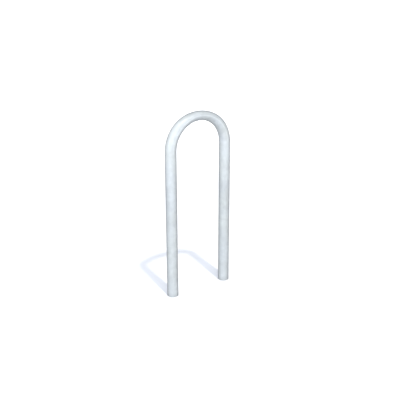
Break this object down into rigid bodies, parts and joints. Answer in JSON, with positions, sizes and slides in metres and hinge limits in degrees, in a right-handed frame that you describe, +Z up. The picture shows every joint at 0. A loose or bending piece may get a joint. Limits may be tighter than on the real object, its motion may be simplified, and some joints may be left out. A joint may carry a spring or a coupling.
{
  "type": "hoop bike rack",
  "caption": "Tall round-topped hoop bike rack of bent galvanised steel tube, whose legs run on below ground with cross bars and end plugs for casting into concrete.",
  "frame": {"origin": "finished ground level, midway between the axes of the two legs", "axes": "+Z up along the legs, +X from the left leg to the right leg, -Y the front"},
  "size_m": [0.3282, 0.15, 1.104],
  "materials": {
    "galvanised_tube": "hot-dip galvanised, matt, faint spangle",
    "galvanised_bar": "hot-dip galvanised, dull, lightly drawn",
    "galvanised_weld": "hot-dip galvanised over a rippled bead",
    "plug_plastic": "moulded polyethylene, black, satin"
  },
  "bodies": {
    "root": {"hoop_tube": "galvanised_tube", "left_anchor_bar": "galvanised_bar", "right_anchor_bar": "galvanised_bar", "left_anchor_welds": "galvanised_weld", "right_anchor_welds": "galvanised_weld", "left_end_plug": "plug_plastic", "right_end_plug": "plug_plastic"}
  },
  "joints": []
}
